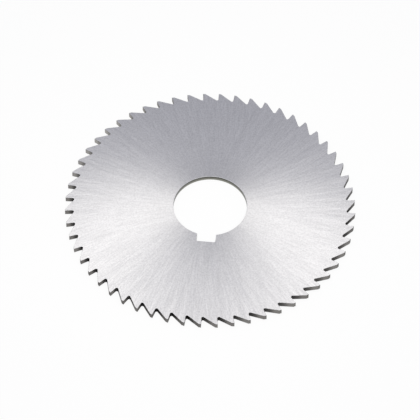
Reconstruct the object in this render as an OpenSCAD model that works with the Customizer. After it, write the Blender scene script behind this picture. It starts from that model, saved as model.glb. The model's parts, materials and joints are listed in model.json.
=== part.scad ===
// Metal slitting saw: a one-piece steel disc, hollow ground on both faces,
// with saw teeth round its rim and a keyed bore.
// It lies flat: the spin axis is +Z, z = 0 is the lower face of the rim, and the keyway points to -Y.
// Seen from above, it cuts turning counter-clockwise.

/* [Disc] */
// Diameter over the tooth tips
disc_d = 100; // [80:1:160]
// Thickness over the teeth
rim_t = 2; // [1.2:0.1:5]
// Full-thickness band, from the tooth tips inwards
rim_band = 6; // [4.5:0.5:10]
// Depth of the hollow grinding on each face
face_relief = 0.08; // [0.02:0.01:0.3]
// Diameter of the flat clamping face round the bore
clamp_d = 44; // [40:1:60]

/* [Bore and keyway] */
// Bore diameter
bore_d = 25.4; // [16:0.1:30]
// Broken edge at each end of the bore
bore_chamfer = 0.1; // [0.05:0.05:0.3]
// Keyway width
keyway_w = 6.5; // [4:0.1:8]
// Keyway depth, from the bore to the keyway floor on its centre line
keyway_depth = 2.8; // [1.5:0.1:4]
// Radius of the two corners of the keyway floor
keyway_corner = 0.5; // [0.2:0.1:1.2]

/* [Teeth] */
// Number of teeth
tooth_count = 56; // [40:1:72]
// Height of the teeth, from gullet floor to tip
tooth_depth = 3; // [2:0.1:3.8]
// Rake of the cutting faces, where 0 is radial
rake_angle = 0; // [-5:1:12]
// Width of the land behind each cutting edge
land_w = 0.85; // [0.4:0.05:1.4]
// Clearance angle of the land
land_relief = 10; // [4:1:16]
// Radius of the gullet floor
gullet_r = 0.5; // [0.3:0.05:1.2]
// Angle from +X to the first tooth tip
first_tooth = 2.2; // [0:0.1:6.4]

/* [Hidden] */
$fn = 128;
disc_r = disc_d / 2;
bore_r = bore_d / 2;
clamp_r = clamp_d / 2;
band_r = disc_r - rim_band;
tooth_pitch = 360 / tooth_count;
steel = [0.80, 0.80, 0.82];

// Straight runs that stand for one gullet floor, and for one keyway corner
gullet_steps = 6;
corner_steps = 4;
// How far the blank and the cutters reach past what they trim
overcut = 1;

// Unit vector at an angle
function ray(a) = [cos(a), sin(a)];

// Point p turned about the spin axis
function turned(p, a) = [p.x * cos(a) - p.y * sin(a), p.x * sin(a) + p.y * cos(a)];

// Points on an arc, with both its ends
function arc(centre, r, from, to, steps) =
    [for (i = [0 : steps]) centre + r * ray(from + (to - from) * i / steps)];

// One tooth, with its cutting edge on +X: the land trails clockwise from the tip to the heel
tip = [disc_r, 0];
heel = tip + land_w * ray(270 - land_relief);
next_heel = turned(heel, tooth_pitch);

// The cutting face runs inwards from the tip, and the gullet lies on its counter-clockwise side
face_in = -ray(rake_angle);
face_out = ray(rake_angle + 90);

// The gullet floor is a circle that touches the cutting face and the root circle
floor_orbit = disc_r - tooth_depth + gullet_r;
floor_start = tip + gullet_r * face_out;
floor_reach = floor_start * face_in;
floor_drop = -floor_reach - sqrt(floor_reach ^ 2 - floor_start * floor_start + floor_orbit ^ 2);
floor_c = floor_start + floor_drop * face_in;

// The back of the next tooth leaves its heel and touches the same circle
heel_to_floor = floor_c - next_heel;
back_angle = atan2(heel_to_floor.y, heel_to_floor.x) - asin(gullet_r / norm(heel_to_floor));

// Outline from one cutting edge to the next heel
tooth_space = concat(
    [tip],
    arc(floor_c, gullet_r, rake_angle - 90, back_angle - 90, gullet_steps),
    [next_heel]
);

// The disc before its teeth are cut, as a revolved section: bore, clamping faces, hollow ground webs and rim
module blank() {
    low = face_relief;
    high = rim_t - face_relief;
    outer_r = disc_r + overcut;
    rotate_extrude()
        polygon([
            [bore_r, low + bore_chamfer],
            [bore_r + bore_chamfer, low],
            [clamp_r, low],
            [band_r, 0],
            [outer_r, 0],
            [outer_r, rim_t],
            [band_r, rim_t],
            [clamp_r, high],
            [bore_r + bore_chamfer, high],
            [bore_r, high - bore_chamfer]
        ]);
}

// Everything inside the line of the teeth
module toothed_outline() {
    translate([0, 0, -overcut])
        linear_extrude(rim_t + 2 * overcut)
            polygon([
                for (k = [0 : tooth_count - 1])
                    for (p = tooth_space) turned(p, first_tooth + k * tooth_pitch)
            ]);
}

// The slot for the arbor's key, from the bore's axis to its floor
module keyway() {
    side = keyway_w / 2;
    floor_y = -bore_r - keyway_depth;
    corner_x = side - keyway_corner;
    corner_y = floor_y + keyway_corner;
    translate([0, 0, -overcut])
        linear_extrude(rim_t + 2 * overcut)
            polygon(concat(
                [[side, 0], [-side, 0]],
                arc([-corner_x, corner_y], keyway_corner, 180, 270, corner_steps),
                arc([corner_x, corner_y], keyway_corner, 270, 360, corner_steps)
            ));
}

module saw_blade() {
    color(steel)
        difference() {
            intersection() {
                blank();
                toothed_outline();
            }
            keyway();
        }
}

saw_blade();
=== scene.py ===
import json
import math

import bmesh
import bpy
from mathutils import Matrix, Vector


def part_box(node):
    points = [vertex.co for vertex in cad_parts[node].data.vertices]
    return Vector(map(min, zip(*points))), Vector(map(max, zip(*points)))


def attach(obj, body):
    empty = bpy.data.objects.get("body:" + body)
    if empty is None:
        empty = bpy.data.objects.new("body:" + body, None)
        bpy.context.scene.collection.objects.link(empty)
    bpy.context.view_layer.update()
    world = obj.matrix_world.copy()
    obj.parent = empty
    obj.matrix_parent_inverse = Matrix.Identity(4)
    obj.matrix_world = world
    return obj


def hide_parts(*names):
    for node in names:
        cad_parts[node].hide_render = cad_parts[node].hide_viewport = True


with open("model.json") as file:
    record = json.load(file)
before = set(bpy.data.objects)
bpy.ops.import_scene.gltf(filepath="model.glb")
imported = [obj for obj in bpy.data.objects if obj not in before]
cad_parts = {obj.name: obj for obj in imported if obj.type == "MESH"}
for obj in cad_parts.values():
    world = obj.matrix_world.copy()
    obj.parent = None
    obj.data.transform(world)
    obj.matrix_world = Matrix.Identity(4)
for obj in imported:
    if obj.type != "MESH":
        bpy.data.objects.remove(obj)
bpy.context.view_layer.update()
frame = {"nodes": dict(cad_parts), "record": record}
print("frame loaded:", ", ".join(frame["nodes"]))

mm = 0.001
bladeLow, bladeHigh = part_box("saw_blade")
mounts = {m["name"]: m for m in frame["record"]["mounts"]}

# the blade, in mm and degrees; the bore, thickness and clamping face come from the frame
blade = {
    "tipRadius": 50.0,
    "thickness": (bladeHigh[2] - bladeLow[2]) / mm,
    "boreRadius": mounts["bore"]["dims"]["r_mm"],
    "boreChamfer": 0.1,
    "boreSteps": 96,  # mesh edges round the bore
    "clampZ": mounts["clamp_face_upper"]["pos_m"][2] / mm,  # top of the clamping face
    "clampRadius": 22.0,  # hollow grinding runs from here...
    "bandRadius": 44.0,  # ...out to the full-thickness rim
    "edgeBreak": 0.05,  # deburred edges of teeth and keyway
    "keywayWidth": 6.5,
    "keywayDepth": 2.8,
    "keywayCorner": 0.5,
    "cornerSteps": 6,
    "weld": 0.002,  # points closer than this become one
    "sharpAngle": 24.0,  # edges that turn more than this stay crisp
}
teeth = {
    "count": 56,
    "depth": 3.0,
    "rake": 0.0,
    "land": 0.85,
    "landRelief": 10.0,
    "gulletRadius": 0.5,
    "gulletSteps": 8,
    "rimSteps": 4,  # mesh edges along the inside of the band, per tooth
    "firstTooth": 2.2,
    "shadeSeed": 5,
}
toothPitch = 360 / teeth["count"]


# small helpers for outlines in the plane

axisPoint = Vector((0, 0))
insetLimit = 0.4  # keeps a sharp corner from being drawn in too far


def ray(degrees):
    a = math.radians(degrees)
    return Vector((math.cos(a), math.sin(a)))


def turned(p, degrees):
    return Matrix.Rotation(math.radians(degrees), 2) @ p


def arcPoints(centre, radius, start, end, steps):
    return [centre + radius * ray(start + (end - start) * i / steps) for i in range(steps + 1)]


def inset(before, point, after, distance):
    # moves a corner of a counter-clockwise outline inwards, keeping both its edges parallel
    a = (point - before).normalized()
    b = (after - point).normalized()
    normalA, normalB = Vector((-a.y, a.x)), Vector((-b.y, b.x))
    middle = (normalA + normalB).normalized()
    return point + middle * (distance / max(middle.dot(normalA), insetLimit))


def at(p, z):
    return Vector((p.x, p.y, z)) * mm


# small helpers for objects and nodes

noiseDetail = 2.0
noiseSpan = (0.3, 0.7)  # most of a noise's values lie between these


def newObject(name, data):
    obj = bpy.data.objects.new(name, data)
    bpy.context.collection.objects.link(obj)
    return obj


def meshObject(name, bm):
    mesh = bpy.data.meshes.new(name)
    bm.to_mesh(mesh)
    bm.free()
    return newObject(name, mesh)


def newMaterial(name):
    material = bpy.data.materials.new(name)
    material.use_nodes = True
    return material, material.node_tree, material.node_tree.nodes["Principled BSDF"]


def newSteel(name):
    material, tree, shader = newMaterial(name)
    shader.inputs["Metallic"].default_value = 1.0
    return material, tree, shader


def feed(tree, socket, value):
    # a link from another node's output, or a plain setting
    if isinstance(value, bpy.types.NodeSocket):
        tree.links.new(value, socket)
    else:
        socket.default_value = value


def mathNode(tree, operation, *values):
    node = tree.nodes.new("ShaderNodeMath")
    node.operation = operation
    for socket, value in zip(node.inputs, values):
        feed(tree, socket, value)
    return node.outputs["Value"]


def vectorNode(tree, operation, *values):
    node = tree.nodes.new("ShaderNodeVectorMath")
    node.operation = operation
    for socket, value in zip(node.inputs, values):
        feed(tree, socket, value)
    return node.outputs["Value" if operation in ("LENGTH", "DOT_PRODUCT") else "Vector"]


def scaleNode(tree, vector, factor):
    node = tree.nodes.new("ShaderNodeVectorMath")
    node.operation = "SCALE"
    feed(tree, node.inputs[0], vector)
    feed(tree, node.inputs["Scale"], factor)
    return node.outputs["Vector"]


def turnNode(tree, vector, angle):
    node = tree.nodes.new("ShaderNodeVectorRotate")
    node.rotation_type = "Z_AXIS"
    feed(tree, node.inputs["Vector"], vector)
    feed(tree, node.inputs["Angle"], angle)
    return node.outputs["Vector"]


def rangeNode(tree, value, span, result):
    node = tree.nodes.new("ShaderNodeMapRange")
    feed(tree, node.inputs["Value"], value)
    for name, number in zip(("From Min", "From Max", "To Min", "To Max"), (*span, *result)):
        node.inputs[name].default_value = number
    return node.outputs["Result"]


def rampNode(tree, value, stops):
    node = tree.nodes.new("ShaderNodeValToRGB")
    feed(tree, node.inputs["Fac"], value)
    elements = node.color_ramp.elements
    for place, colour in stops[1:-1]:
        elements.new(place)
    for element, (place, colour) in zip(elements, stops):
        element.position = place
        element.color = (*colour, 1.0)
    return node.outputs["Color"]


def bumpNode(tree, height, bump):
    node = tree.nodes.new("ShaderNodeBump")
    node.inputs["Strength"].default_value = bump["strength"]
    node.inputs["Distance"].default_value = bump["height"] * mm
    feed(tree, node.inputs["Height"], height)
    return node


def objectPlace(tree):
    return tree.nodes.new("ShaderNodeTexCoord").outputs["Object"]


def fromAxis(tree):
    # the place in the plane of the disc, and its distance from the axis
    flat = vectorNode(tree, "MULTIPLY", objectPlace(tree), (1, 1, 0))
    return flat, vectorNode(tree, "LENGTH", flat)


def noiseNode(tree, place, scale=1.0):
    node = tree.nodes.new("ShaderNodeTexNoise")
    node.inputs["Scale"].default_value = scale
    node.inputs["Detail"].default_value = noiseDetail
    feed(tree, node.inputs["Vector"], place)
    return node.outputs["Fac"]


def stretchedNoise(tree, stretch):
    mapping = tree.nodes.new("ShaderNodeMapping")
    mapping.inputs["Scale"].default_value = stretch
    feed(tree, mapping.inputs["Vector"], objectPlace(tree))
    return noiseNode(tree, mapping.outputs["Vector"])


def grindNoise(tree, lines):
    # noise that changes fast round the axis and slowly along the radius
    flat, radius = fromAxis(tree)
    sweep = mathNode(tree, "MULTIPLY", radius, lines["sweep"])
    swept = turnNode(tree, vectorNode(tree, "NORMALIZE", flat), sweep)
    lift = tree.nodes.new("ShaderNodeCombineXYZ")
    feed(tree, lift.inputs["Z"], mathNode(tree, "MULTIPLY", radius, lines["along"]))
    spread = scaleNode(tree, swept, lines["round"])
    return noiseNode(tree, vectorNode(tree, "ADD", spread, lift.outputs["Vector"]))


# ground faces, with the lines that the grinder left
faceFinish = {
    "lines": [
        {"round": 50.0, "along": 50.0, "sweep": 4.0, "share": 0.3},  # broad ones
        {"round": 150.0, "along": 110.0, "sweep": -4.0, "share": 0.7},  # fine ones
    ],
    "grainScale": 1900.0,  # specks between the lines
    "grainShare": 0.48,
    "tones": [(0.38, (0.675, 0.675, 0.69)), (0.62, (0.825, 0.825, 0.84))],
    "shade": (0.945, 1.0),  # a little darker round the bore...
    "shadeReach": (13.0, 25.0),  # ...between these radii, mm
    "gloss": {"round": 165.0, "along": 95.0, "sweep": 2.0},
    "rough": (0.548, 0.632),
    "anisotropy": 0.79,  # gloss spreads across the grinding lines
    "stray": {"round": 62.0, "along": 60.0, "sweep": 1.0},
    "strayAngle": 4.5,  # how far a line strays from the radius
    "lean": {"round": 120.0, "along": 40.0, "sweep": -2.0},
    "leanSlope": 0.02,  # how far the face leans in or out along a line
    "bump": {"strength": 0.3, "height": 0.02},
}


def groundFaceSteel():
    material, tree, shader = newSteel("groundFaceSteel")
    flat, radius = fromAxis(tree)

    streaks = 0.0
    for lines in faceFinish["lines"]:
        layer = mathNode(tree, "MULTIPLY", grindNoise(tree, lines), lines["share"])
        streaks = mathNode(tree, "ADD", layer, streaks)
    grain = noiseNode(tree, objectPlace(tree), faceFinish["grainScale"])
    specks = mathNode(tree, "MULTIPLY", grain, faceFinish["grainShare"])
    streaks = mathNode(tree, "MULTIPLY", streaks, 1 - faceFinish["grainShare"])
    ground = mathNode(tree, "ADD", specks, streaks)
    tone = rampNode(tree, ground, faceFinish["tones"])
    shadeReach = [r * mm for r in faceFinish["shadeReach"]]
    shade = rangeNode(tree, radius, shadeReach, faceFinish["shade"])
    feed(tree, shader.inputs["Base Color"], scaleNode(tree, tone, shade))

    gloss = grindNoise(tree, faceFinish["gloss"])
    feed(tree, shader.inputs["Roughness"], rangeNode(tree, gloss, noiseSpan, faceFinish["rough"]))
    shader.inputs["Anisotropic"].default_value = faceFinish["anisotropy"]
    aroundAxis = tree.nodes.new("ShaderNodeTangent")
    aroundAxis.direction_type = "RADIAL"
    aroundAxis.axis = "Z"
    most = math.radians(faceFinish["strayAngle"])
    stray = rangeNode(tree, grindNoise(tree, faceFinish["stray"]), noiseSpan, (-most, most))
    feed(tree, shader.inputs["Tangent"], turnNode(tree, aroundAxis.outputs["Tangent"], stray))

    slope = faceFinish["leanSlope"]
    lean = rangeNode(tree, grindNoise(tree, faceFinish["lean"]), noiseSpan, (-slope, slope))
    outwards = scaleNode(tree, vectorNode(tree, "NORMALIZE", flat), lean)
    level = tree.nodes.new("ShaderNodeNewGeometry").outputs["Normal"]
    leaning = vectorNode(tree, "NORMALIZE", vectorNode(tree, "ADD", level, outwards))
    bump = bumpNode(tree, ground, faceFinish["bump"])
    feed(tree, bump.inputs["Normal"], leaning)
    feed(tree, shader.inputs["Normal"], bump.outputs["Normal"])
    return material


# tooth walls, with painted shade: their colour is kept dark to stand in for the dark surroundings
# they reflect, and darkest in the gullets
wallFinish = {
    "marks": (9000, 9000, 700),  # cutter marks run across the thickness
    "toothShare": 0.15,  # no two teeth are quite alike
    "markShare": 0.25,
    "gulletShadeTone": (0.0, 0.6),  # painted shade in the gullets: lighter from the gullet floor...
    "gulletShadeReach": 2.0,  # ...up to this height, mm
    # painted shade: the wall colours are kept dark in place of the dark surroundings the walls
    # reflect
    "tones": [
        (0.15, (0.009, 0.009, 0.009)),
        (0.5, (0.075, 0.072, 0.07)),
        (0.9, (0.235, 0.226, 0.217)),
    ],
    "rough": (0.16, 0.26),
    "edgeTint": (0.4, 0.4, 0.4, 1),  # stays dark seen edge on
    "bump": {"strength": 0.3, "height": 0.01},
    # colour of the painted light added to the walls
    "paintedLightTint": (1.0, 0.98, 0.95),
    # painted light: walls on these two sides of the rim are lightened to stand in for the brighter
    # surroundings they reflect there; the reach is in cosines of the angle away from the bearing
    "paintedLightParts": [
        {"bearing": 122.0, "reach": (0.58, 0.97), "lift": 0.26},
        {"bearing": 352.0, "reach": (0.2, 1.0), "lift": 0.035},
    ],
}


def toothPaintedShadeSteel():
    material, tree, shader = newSteel("toothPaintedShadeSteel")
    flat, radius = fromAxis(tree)
    shade = tree.nodes.new("ShaderNodeAttribute")
    shade.attribute_name = "toothShade"
    marks = stretchedNoise(tree, wallFinish["marks"])
    floorRadius = (blade["tipRadius"] - teeth["depth"]) * mm
    gulletShadeSpan = (floorRadius, floorRadius + wallFinish["gulletShadeReach"] * mm)

    tone = mathNode(tree, "MULTIPLY", shade.outputs["Fac"], wallFinish["toothShare"])
    tone = mathNode(tree, "ADD", tone, mathNode(tree, "MULTIPLY", marks, wallFinish["markShare"]))
    # painted shade: the walls darken towards the gullet floor
    tone = mathNode(tree, "ADD", tone, rangeNode(tree, radius, gulletShadeSpan, wallFinish["gulletShadeTone"]))
    colour = rampNode(tree, tone, wallFinish["tones"])
    outwards = vectorNode(tree, "NORMALIZE", flat)
    # painted light: lightens the walls on two sides of the rim
    for part in wallFinish["paintedLightParts"]:
        nearness = vectorNode(tree, "DOT_PRODUCT", outwards, ray(part["bearing"]).to_3d())
        lift = rangeNode(tree, nearness, part["reach"], (0.0, part["lift"]))
        colour = vectorNode(tree, "ADD", colour, scaleNode(tree, wallFinish["paintedLightTint"], lift))
    feed(tree, shader.inputs["Base Color"], colour)

    feed(tree, shader.inputs["Roughness"], rangeNode(tree, marks, noiseSpan, wallFinish["rough"]))
    shader.inputs["Specular Tint"].default_value = wallFinish["edgeTint"]
    bump = bumpNode(tree, marks, wallFinish["bump"])
    feed(tree, shader.inputs["Normal"], bump.outputs["Normal"])
    return material


# the bore, olive grey and darker towards its upper edge
boreFinish = {
    "rings": (300, 300, 16000),  # honing marks run round the bore
    "ringShare": 0.3,
    "heights": (0.3, 1.7),  # mm
    "heightTone": (0.7, 0.0),
    "tones": [(0.15, (0.06, 0.06, 0.052)), (0.85, (0.30, 0.30, 0.265))],
    "rough": (0.3, 0.42),
}


def boredSteel():
    material, tree, shader = newSteel("boredSteel")
    rings = stretchedNoise(tree, boreFinish["rings"])
    split = tree.nodes.new("ShaderNodeSeparateXYZ")
    feed(tree, split.inputs["Vector"], objectPlace(tree))
    heights = [z * mm for z in boreFinish["heights"]]
    tone = rangeNode(tree, split.outputs["Z"], heights, boreFinish["heightTone"])
    tone = mathNode(tree, "ADD", tone, mathNode(tree, "MULTIPLY", rings, boreFinish["ringShare"]))
    feed(tree, shader.inputs["Base Color"], rampNode(tree, tone, boreFinish["tones"]))
    feed(tree, shader.inputs["Roughness"], rangeNode(tree, rings, noiseSpan, boreFinish["rough"]))
    return material


# the freshly broken edges of the bore; their pale colour is partly bare metal and partly a painted
# highlight
edgeFinish = {
    "rings": (900, 900, 9000),
    "tones": [(0.3, (0.88, 0.88, 0.87)), (0.7, (0.98, 0.98, 0.97))],
    "rough": (0.3, 0.45),
}


def paintedGlintEdgeSteel():
    material, tree, shader = newSteel("paintedGlintEdgeSteel")
    rings = stretchedNoise(tree, edgeFinish["rings"])
    feed(tree, shader.inputs["Base Color"], rampNode(tree, rings, edgeFinish["tones"]))
    feed(tree, shader.inputs["Roughness"], rangeNode(tree, rings, noiseSpan, edgeFinish["rough"]))
    return material


faceSteel = groundFaceSteel()
toothSteel = toothPaintedShadeSteel()
boreSteel = boredSteel()
edgeSteel = paintedGlintEdgeSteel()
print("materials made")


# the ring of teeth, from one tooth space between two cutting edges

def toothOutline():
    tip = Vector((blade["tipRadius"], 0.0))
    heel = tip + teeth["land"] * ray(270 - teeth["landRelief"])
    faceIn, faceOut = -ray(teeth["rake"]), ray(teeth["rake"] + 90)
    radius = teeth["gulletRadius"]
    orbit = blade["tipRadius"] - teeth["depth"] + radius
    start = tip + radius * faceOut
    reach = start.dot(faceIn)
    floor = start - (reach + math.sqrt(reach ** 2 - start.length_squared + orbit ** 2)) * faceIn
    toFloor = floor - turned(heel, toothPitch)
    back = math.degrees(math.atan2(toFloor.y, toFloor.x) - math.asin(radius / toFloor.length))
    gullet = arcPoints(floor, radius, teeth["rake"] - 90, back - 90, teeth["gulletSteps"])
    return gullet + [turned(heel, toothPitch), turned(tip, toothPitch)]


def toothSector():
    outline = toothOutline()
    outline.append(turned(outline[0], toothPitch))
    before = [turned(outline[-2], -toothPitch)] + outline[:-1]
    after = outline[1:] + [turned(outline[1], toothPitch)]
    top, low = blade["thickness"], 0.0
    edge = blade["edgeBreak"]
    drawnIn = [inset(b, p, a, edge) for b, p, a in zip(before, outline, after)]
    bm = bmesh.new()
    wall = bm.faces.layers.bool.new("toothWall")
    levels = ((drawnIn, top), (outline, top - edge), (outline, low + edge), (drawnIn, low))
    loops = [[bm.verts.new(at(p, z)) for p in points] for points, z in levels]
    inner = arcPoints(axisPoint, blade["bandRadius"], toothPitch, 0, teeth["rimSteps"])
    bm.faces.new(loops[0] + [bm.verts.new(at(p, top)) for p in inner])
    bm.faces.new(list(reversed(loops[3] + [bm.verts.new(at(p, low)) for p in inner])))
    for upper, lower in zip(loops, loops[1:]):
        for i in range(len(outline) - 1):
            face = bm.faces.new((upper[i], lower[i], lower[i + 1], upper[i + 1]))
            face[wall] = True
    return meshObject("toothSector", bm)


def toothRingTree():
    # copies one sector round the axis, joins the copies and finishes their walls
    tree = bpy.data.node_groups.new("toothRing", "GeometryNodeTree")
    for name, kind in (("Geometry", "NodeSocketGeometry"), ("Tooth Count", "NodeSocketInt"),
                       ("First Tooth", "NodeSocketFloat"), ("Shade Seed", "NodeSocketInt"),
                       ("Face Steel", "NodeSocketMaterial"), ("Wall Steel", "NodeSocketMaterial")):
        tree.interface.new_socket(name, in_out="INPUT", socket_type=kind)
    tree.interface.new_socket("Geometry", in_out="OUTPUT", socket_type="NodeSocketGeometry")
    nodes, links = tree.nodes, tree.links
    given = nodes.new("NodeGroupInput").outputs
    result = nodes.new("NodeGroupOutput")

    points = nodes.new("GeometryNodePoints")
    links.new(given["Tooth Count"], points.inputs["Count"])
    index = nodes.new("GeometryNodeInputIndex")
    step = mathNode(tree, "DIVIDE", math.tau, given["Tooth Count"])
    angle = mathNode(tree, "MULTIPLY_ADD", index.outputs["Index"], step, given["First Tooth"])
    turn = nodes.new("FunctionNodeAxisAngleToRotation")
    turn.inputs["Axis"].default_value = (0, 0, 1)
    links.new(angle, turn.inputs["Angle"])

    copies = nodes.new("GeometryNodeInstanceOnPoints")
    links.new(points.outputs[0], copies.inputs["Points"])
    links.new(given["Geometry"], copies.inputs["Instance"])
    links.new(turn.outputs["Rotation"], copies.inputs["Rotation"])
    chance = nodes.new("FunctionNodeRandomValue")
    chance.data_type = "FLOAT"
    links.new(given["Shade Seed"], chance.inputs["Seed"])
    shade = nodes.new("GeometryNodeStoreNamedAttribute")
    shade.data_type = "FLOAT"
    shade.domain = "INSTANCE"
    shade.inputs["Name"].default_value = "toothShade"
    links.new(copies.outputs["Instances"], shade.inputs["Geometry"])
    links.new(chance.outputs[1], shade.inputs["Value"])
    real = nodes.new("GeometryNodeRealizeInstances")
    links.new(shade.outputs["Geometry"], real.inputs["Geometry"])
    joined = nodes.new("GeometryNodeMergeByDistance")
    joined.inputs["Distance"].default_value = blade["weld"] * mm
    links.new(real.outputs["Geometry"], joined.inputs["Geometry"])

    faces = nodes.new("GeometryNodeSetMaterial")
    links.new(joined.outputs["Geometry"], faces.inputs["Geometry"])
    links.new(given["Face Steel"], faces.inputs["Material"])
    marked = nodes.new("GeometryNodeInputNamedAttribute")
    marked.data_type = "BOOLEAN"
    marked.inputs["Name"].default_value = "toothWall"
    walls = nodes.new("GeometryNodeSetMaterial")
    links.new(faces.outputs["Geometry"], walls.inputs["Geometry"])
    links.new(marked.outputs["Attribute"], walls.inputs["Selection"])
    links.new(given["Wall Steel"], walls.inputs["Material"])
    links.new(walls.outputs["Geometry"], result.inputs["Geometry"])
    return tree


def applyTree(obj, tree, settings):
    # sets the tree's inputs, then keeps what it makes as a plain mesh
    modifier = obj.modifiers.new(tree.name, "NODES")
    modifier.node_group = tree
    for item in tree.interface.items_tree:
        if item.in_out == "INPUT" and item.name in settings:
            modifier[item.identifier] = settings[item.name]
    ready = obj.evaluated_get(bpy.context.evaluated_depsgraph_get())
    mesh = bpy.data.meshes.new_from_object(ready)
    obj.modifiers.clear()
    obj.data = mesh


def toothRing():
    ring = toothSector()
    settings = {
        "Tooth Count": teeth["count"],
        "First Tooth": math.radians(teeth["firstTooth"]),
        "Shade Seed": teeth["shadeSeed"],
        "Face Steel": faceSteel,
        "Wall Steel": toothSteel,
    }
    applyTree(ring, toothRingTree(), settings)
    print("teeth:", teeth["count"], "copies,", len(ring.data.polygons), "faces")
    return ring


# the hollow ground web, the clamping faces and the keyed bore

webFinishes = (faceSteel, boreSteel, edgeSteel)
faceSlot, boreSlot, edgeSlot = range(3)
bearingSlack = 1e-9  # keeps rounding from sending a first corner right round


def boreOutline(radius, spare):
    # counter-clockwise round the bore, through the keyway at -Y; spare widens the keyway
    side = blade["keywayWidth"] / 2 + spare
    floorY = -blade["boreRadius"] - blade["keywayDepth"] - spare
    corner = blade["keywayCorner"] + spare
    steps = blade["cornerSteps"]
    mouth = math.degrees(math.asin(side / radius))
    roundPart = arcPoints(axisPoint, radius, -90 + mouth, 270 - mouth, blade["boreSteps"])
    left = arcPoints(Vector((-side + corner, floorY + corner)), corner, 180, 270, steps)
    right = arcPoints(Vector((side - corner, floorY + corner)), corner, 270, 360, steps)
    return roundPart + left + right


def bearing(vert):
    return math.atan2(vert.co.y, vert.co.x)


def bearingsFromFirst(loop):
    start = bearing(loop[0])
    return [(bearing(v) - start + bearingSlack) % math.tau for v in loop] + [math.tau]


def zipLoops(bm, outer, inner, flip):
    # triangles between two loops that both run counter-clockwise round the axis
    first = bearing(inner[0])
    nearest = min(range(len(outer)), key=lambda i: (bearing(outer[i]) - first) % math.tau)
    outer = outer[nearest:] + outer[:nearest]
    outerAt, innerAt = bearingsFromFirst(outer), bearingsFromFirst(inner)
    i = j = 0
    while i < len(outer) or j < len(inner):
        a, b = outer[i % len(outer)], inner[j % len(inner)]
        stepOuter = j == len(inner) or (i < len(outer) and outerAt[i + 1] <= innerAt[j + 1])
        c = outer[(i + 1) % len(outer)] if stepOuter else inner[(j + 1) % len(inner)]
        bm.faces.new((b, c, a) if flip else (a, c, b))
        i, j = (i + 1, j) if stepOuter else (i, j + 1)


def bandBetween(bm, outer, inner, flip, slot):
    # four-sided faces between two loops with as many corners
    for k in range(len(outer)):
        quad = (outer[k - 1], outer[k], inner[k], inner[k - 1])
        bm.faces.new(quad[::-1] if flip else quad).material_index = slot


def bladeWeb():
    top, clampZ = blade["thickness"], blade["clampZ"]
    boreRadius, chamfer = blade["boreRadius"], blade["boreChamfer"]
    around = teeth["count"] * teeth["rimSteps"]
    bearings = [teeth["firstTooth"] + 360 * k / around for k in range(around)]
    bm = bmesh.new()

    def ringLoop(radius, z):
        return [bm.verts.new(at(radius * ray(degrees), z)) for degrees in bearings]

    def boreLoop(radius, spare, z):
        return [bm.verts.new(at(p, z)) for p in boreOutline(radius, spare)]

    throats = []
    for lower in (False, True):
        # the upper half, then the same below the middle of the thickness
        rimZ, faceZ, throatZ = [top - z if lower else z for z in (top, clampZ, clampZ - chamfer)]
        rim = ringLoop(blade["bandRadius"], rimZ)
        clamp = ringLoop(blade["clampRadius"], faceZ)
        bandBetween(bm, rim, clamp, lower, faceSlot)
        lip = boreLoop(boreRadius + chamfer, blade["edgeBreak"], faceZ)
        zipLoops(bm, clamp, lip, lower)
        throat = boreLoop(boreRadius, 0.0, throatZ)
        bandBetween(bm, lip, throat, lower, edgeSlot)
        throats.append(throat)
    bandBetween(bm, *throats, False, boreSlot)
    web = meshObject("web", bm)
    for finish in webFinishes:
        web.data.materials.append(finish)
    return web


def joinBlade(ring, web):
    # one closed mesh with crisp edges
    bpy.ops.object.select_all(action="DESELECT")
    ring.select_set(True)
    web.select_set(True)
    bpy.context.view_layer.objects.active = ring
    bpy.ops.object.join()
    bm = bmesh.new()
    bm.from_mesh(ring.data)
    bmesh.ops.remove_doubles(bm, verts=bm.verts, dist=blade["weld"] * mm)
    bmesh.ops.recalc_face_normals(bm, faces=bm.faces)
    openEdges = sum(not e.is_manifold for e in bm.edges)
    bm.to_mesh(ring.data)
    bm.free()
    ring.data.shade_smooth()
    ring.data.set_sharp_from_angle(angle=math.radians(blade["sharpAngle"]))
    ring.name = ring.data.name = "blade"
    print("blade:", len(ring.data.polygons), "faces,", openEdges, "open edges")
    return ring


sawBlade = joinBlade(toothRing(), bladeWeb())
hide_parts("saw_blade")
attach(sawBlade, "root")


# camera, light and floor

camera = {
    "focalPixels": 2690.0,
    "framePixels": 420.0,
    "sensor": 36.0,
    "clipStart": 0.01,
    "distance": 928.0,
    "elevation": 52.72,
    "azimuth": 5.3,  # the keyway stands a little left of the line of sight
    "roll": 0.55,
    "aim": (-0.05, -0.49),  # across and away from the camera, mm
}


def aimCamera():
    data = bpy.data.cameras.new("camera")
    data.sensor_width = camera["sensor"]
    data.lens = camera["focalPixels"] / camera["framePixels"] * camera["sensor"]
    data.clip_start = camera["clipStart"]
    obj = newObject("camera", data)
    tilt = math.radians(camera["elevation"])
    roll = math.radians(camera["roll"])
    swing = Matrix.Rotation(math.radians(camera["azimuth"]), 3, "Z")
    away = swing @ Vector((0, math.cos(tilt), -math.sin(tilt)))
    across = swing @ Vector((1, 0, 0))
    up = across.cross(away)
    right = math.cos(roll) * across + math.sin(roll) * up
    upright = math.cos(roll) * up - math.sin(roll) * across
    turn = Matrix((right, upright, -away)).transposed()
    place = swing @ Vector((*camera["aim"], 0)) * mm - away * camera["distance"] * mm
    obj.matrix_world = Matrix.Translation(place) @ turn.to_4x4()
    bpy.context.scene.camera = obj


studio = {
    "worldStrength": 0.541,
    "worldColour": (0.963, 0.968, 1.06, 1),
    "boxSize": 130.0,  # a small softbox above the blade
    "boxPlace": (-4.5, -9.0, 142.0),
    "boxColour": (1.0, 0.971, 0.896),
    "boxPower": 0.1345,
}


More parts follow.
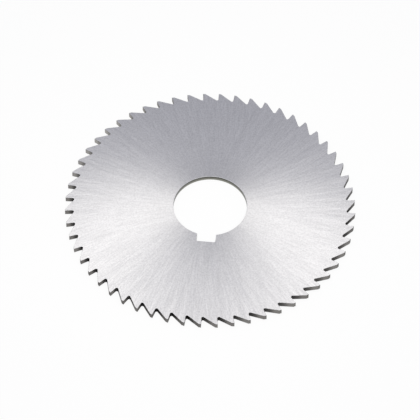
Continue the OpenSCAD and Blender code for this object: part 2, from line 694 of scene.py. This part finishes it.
def lightStudio():
    world = bpy.data.worlds.new("studio")
    bpy.context.scene.world = world
    world.use_nodes = True
    soft = world.node_tree.nodes["Background"]
    soft.inputs["Color"].default_value = studio["worldColour"]
    soft.inputs["Strength"].default_value = studio["worldStrength"]
    lamp = bpy.data.lights.new("softbox", "AREA")
    lamp.shape = "SQUARE"
    lamp.size = studio["boxSize"] * mm
    lamp.energy = studio["boxPower"]
    lamp.color = studio["boxColour"]
    newObject("softbox", lamp).location = Vector(studio["boxPlace"]) * mm


paleFloor = {
    "size": 6.0,  # metres
    "drop": 0.1,  # below the blade, mm
    "colour": (0.9, 0.9, 0.9, 1),
    "rough": 0.9,
    "glow": 0.93,  # share of the floor's white that shadows can't darken
}


def seenDirectly(tree):
    # 1 for rays from the camera, and for what metal and glass show
    rays = tree.nodes.new("ShaderNodeLightPath").outputs
    mirrored = mathNode(tree, "MAXIMUM", rays["Is Glossy Ray"], rays["Is Transmission Ray"])
    return mathNode(tree, "MAXIMUM", rays["Is Camera Ray"], mirrored)


def layFloor():
    half = paleFloor["size"] / 2
    level = -paleFloor["drop"] * mm
    corners = [(-half, -half, level), (half, -half, level), (half, half, level), (-half, half, level)]
    mesh = bpy.data.meshes.new("floor")
    mesh.from_pydata(corners, [], [(0, 1, 2, 3)])
    floor = newObject("floor", mesh)
    material, tree, shader = newMaterial("paleFloor")
    shader.inputs["Base Color"].default_value = paleFloor["colour"]
    shader.inputs["Roughness"].default_value = paleFloor["rough"]
    glow = tree.nodes.new("ShaderNodeEmission")
    mix = tree.nodes.new("ShaderNodeMixShader")
    feed(tree, mix.inputs["Fac"], mathNode(tree, "MULTIPLY", seenDirectly(tree), paleFloor["glow"]))
    feed(tree, mix.inputs[1], shader.outputs["BSDF"])
    feed(tree, mix.inputs[2], glow.outputs["Emission"])
    feed(tree, tree.nodes["Material Output"].inputs["Surface"], mix.outputs["Shader"])
    mesh.materials.append(material)


aimCamera()
lightStudio()
layFloor()
bpy.context.scene.view_settings.view_transform = "Standard"
print("camera, light and floor set")
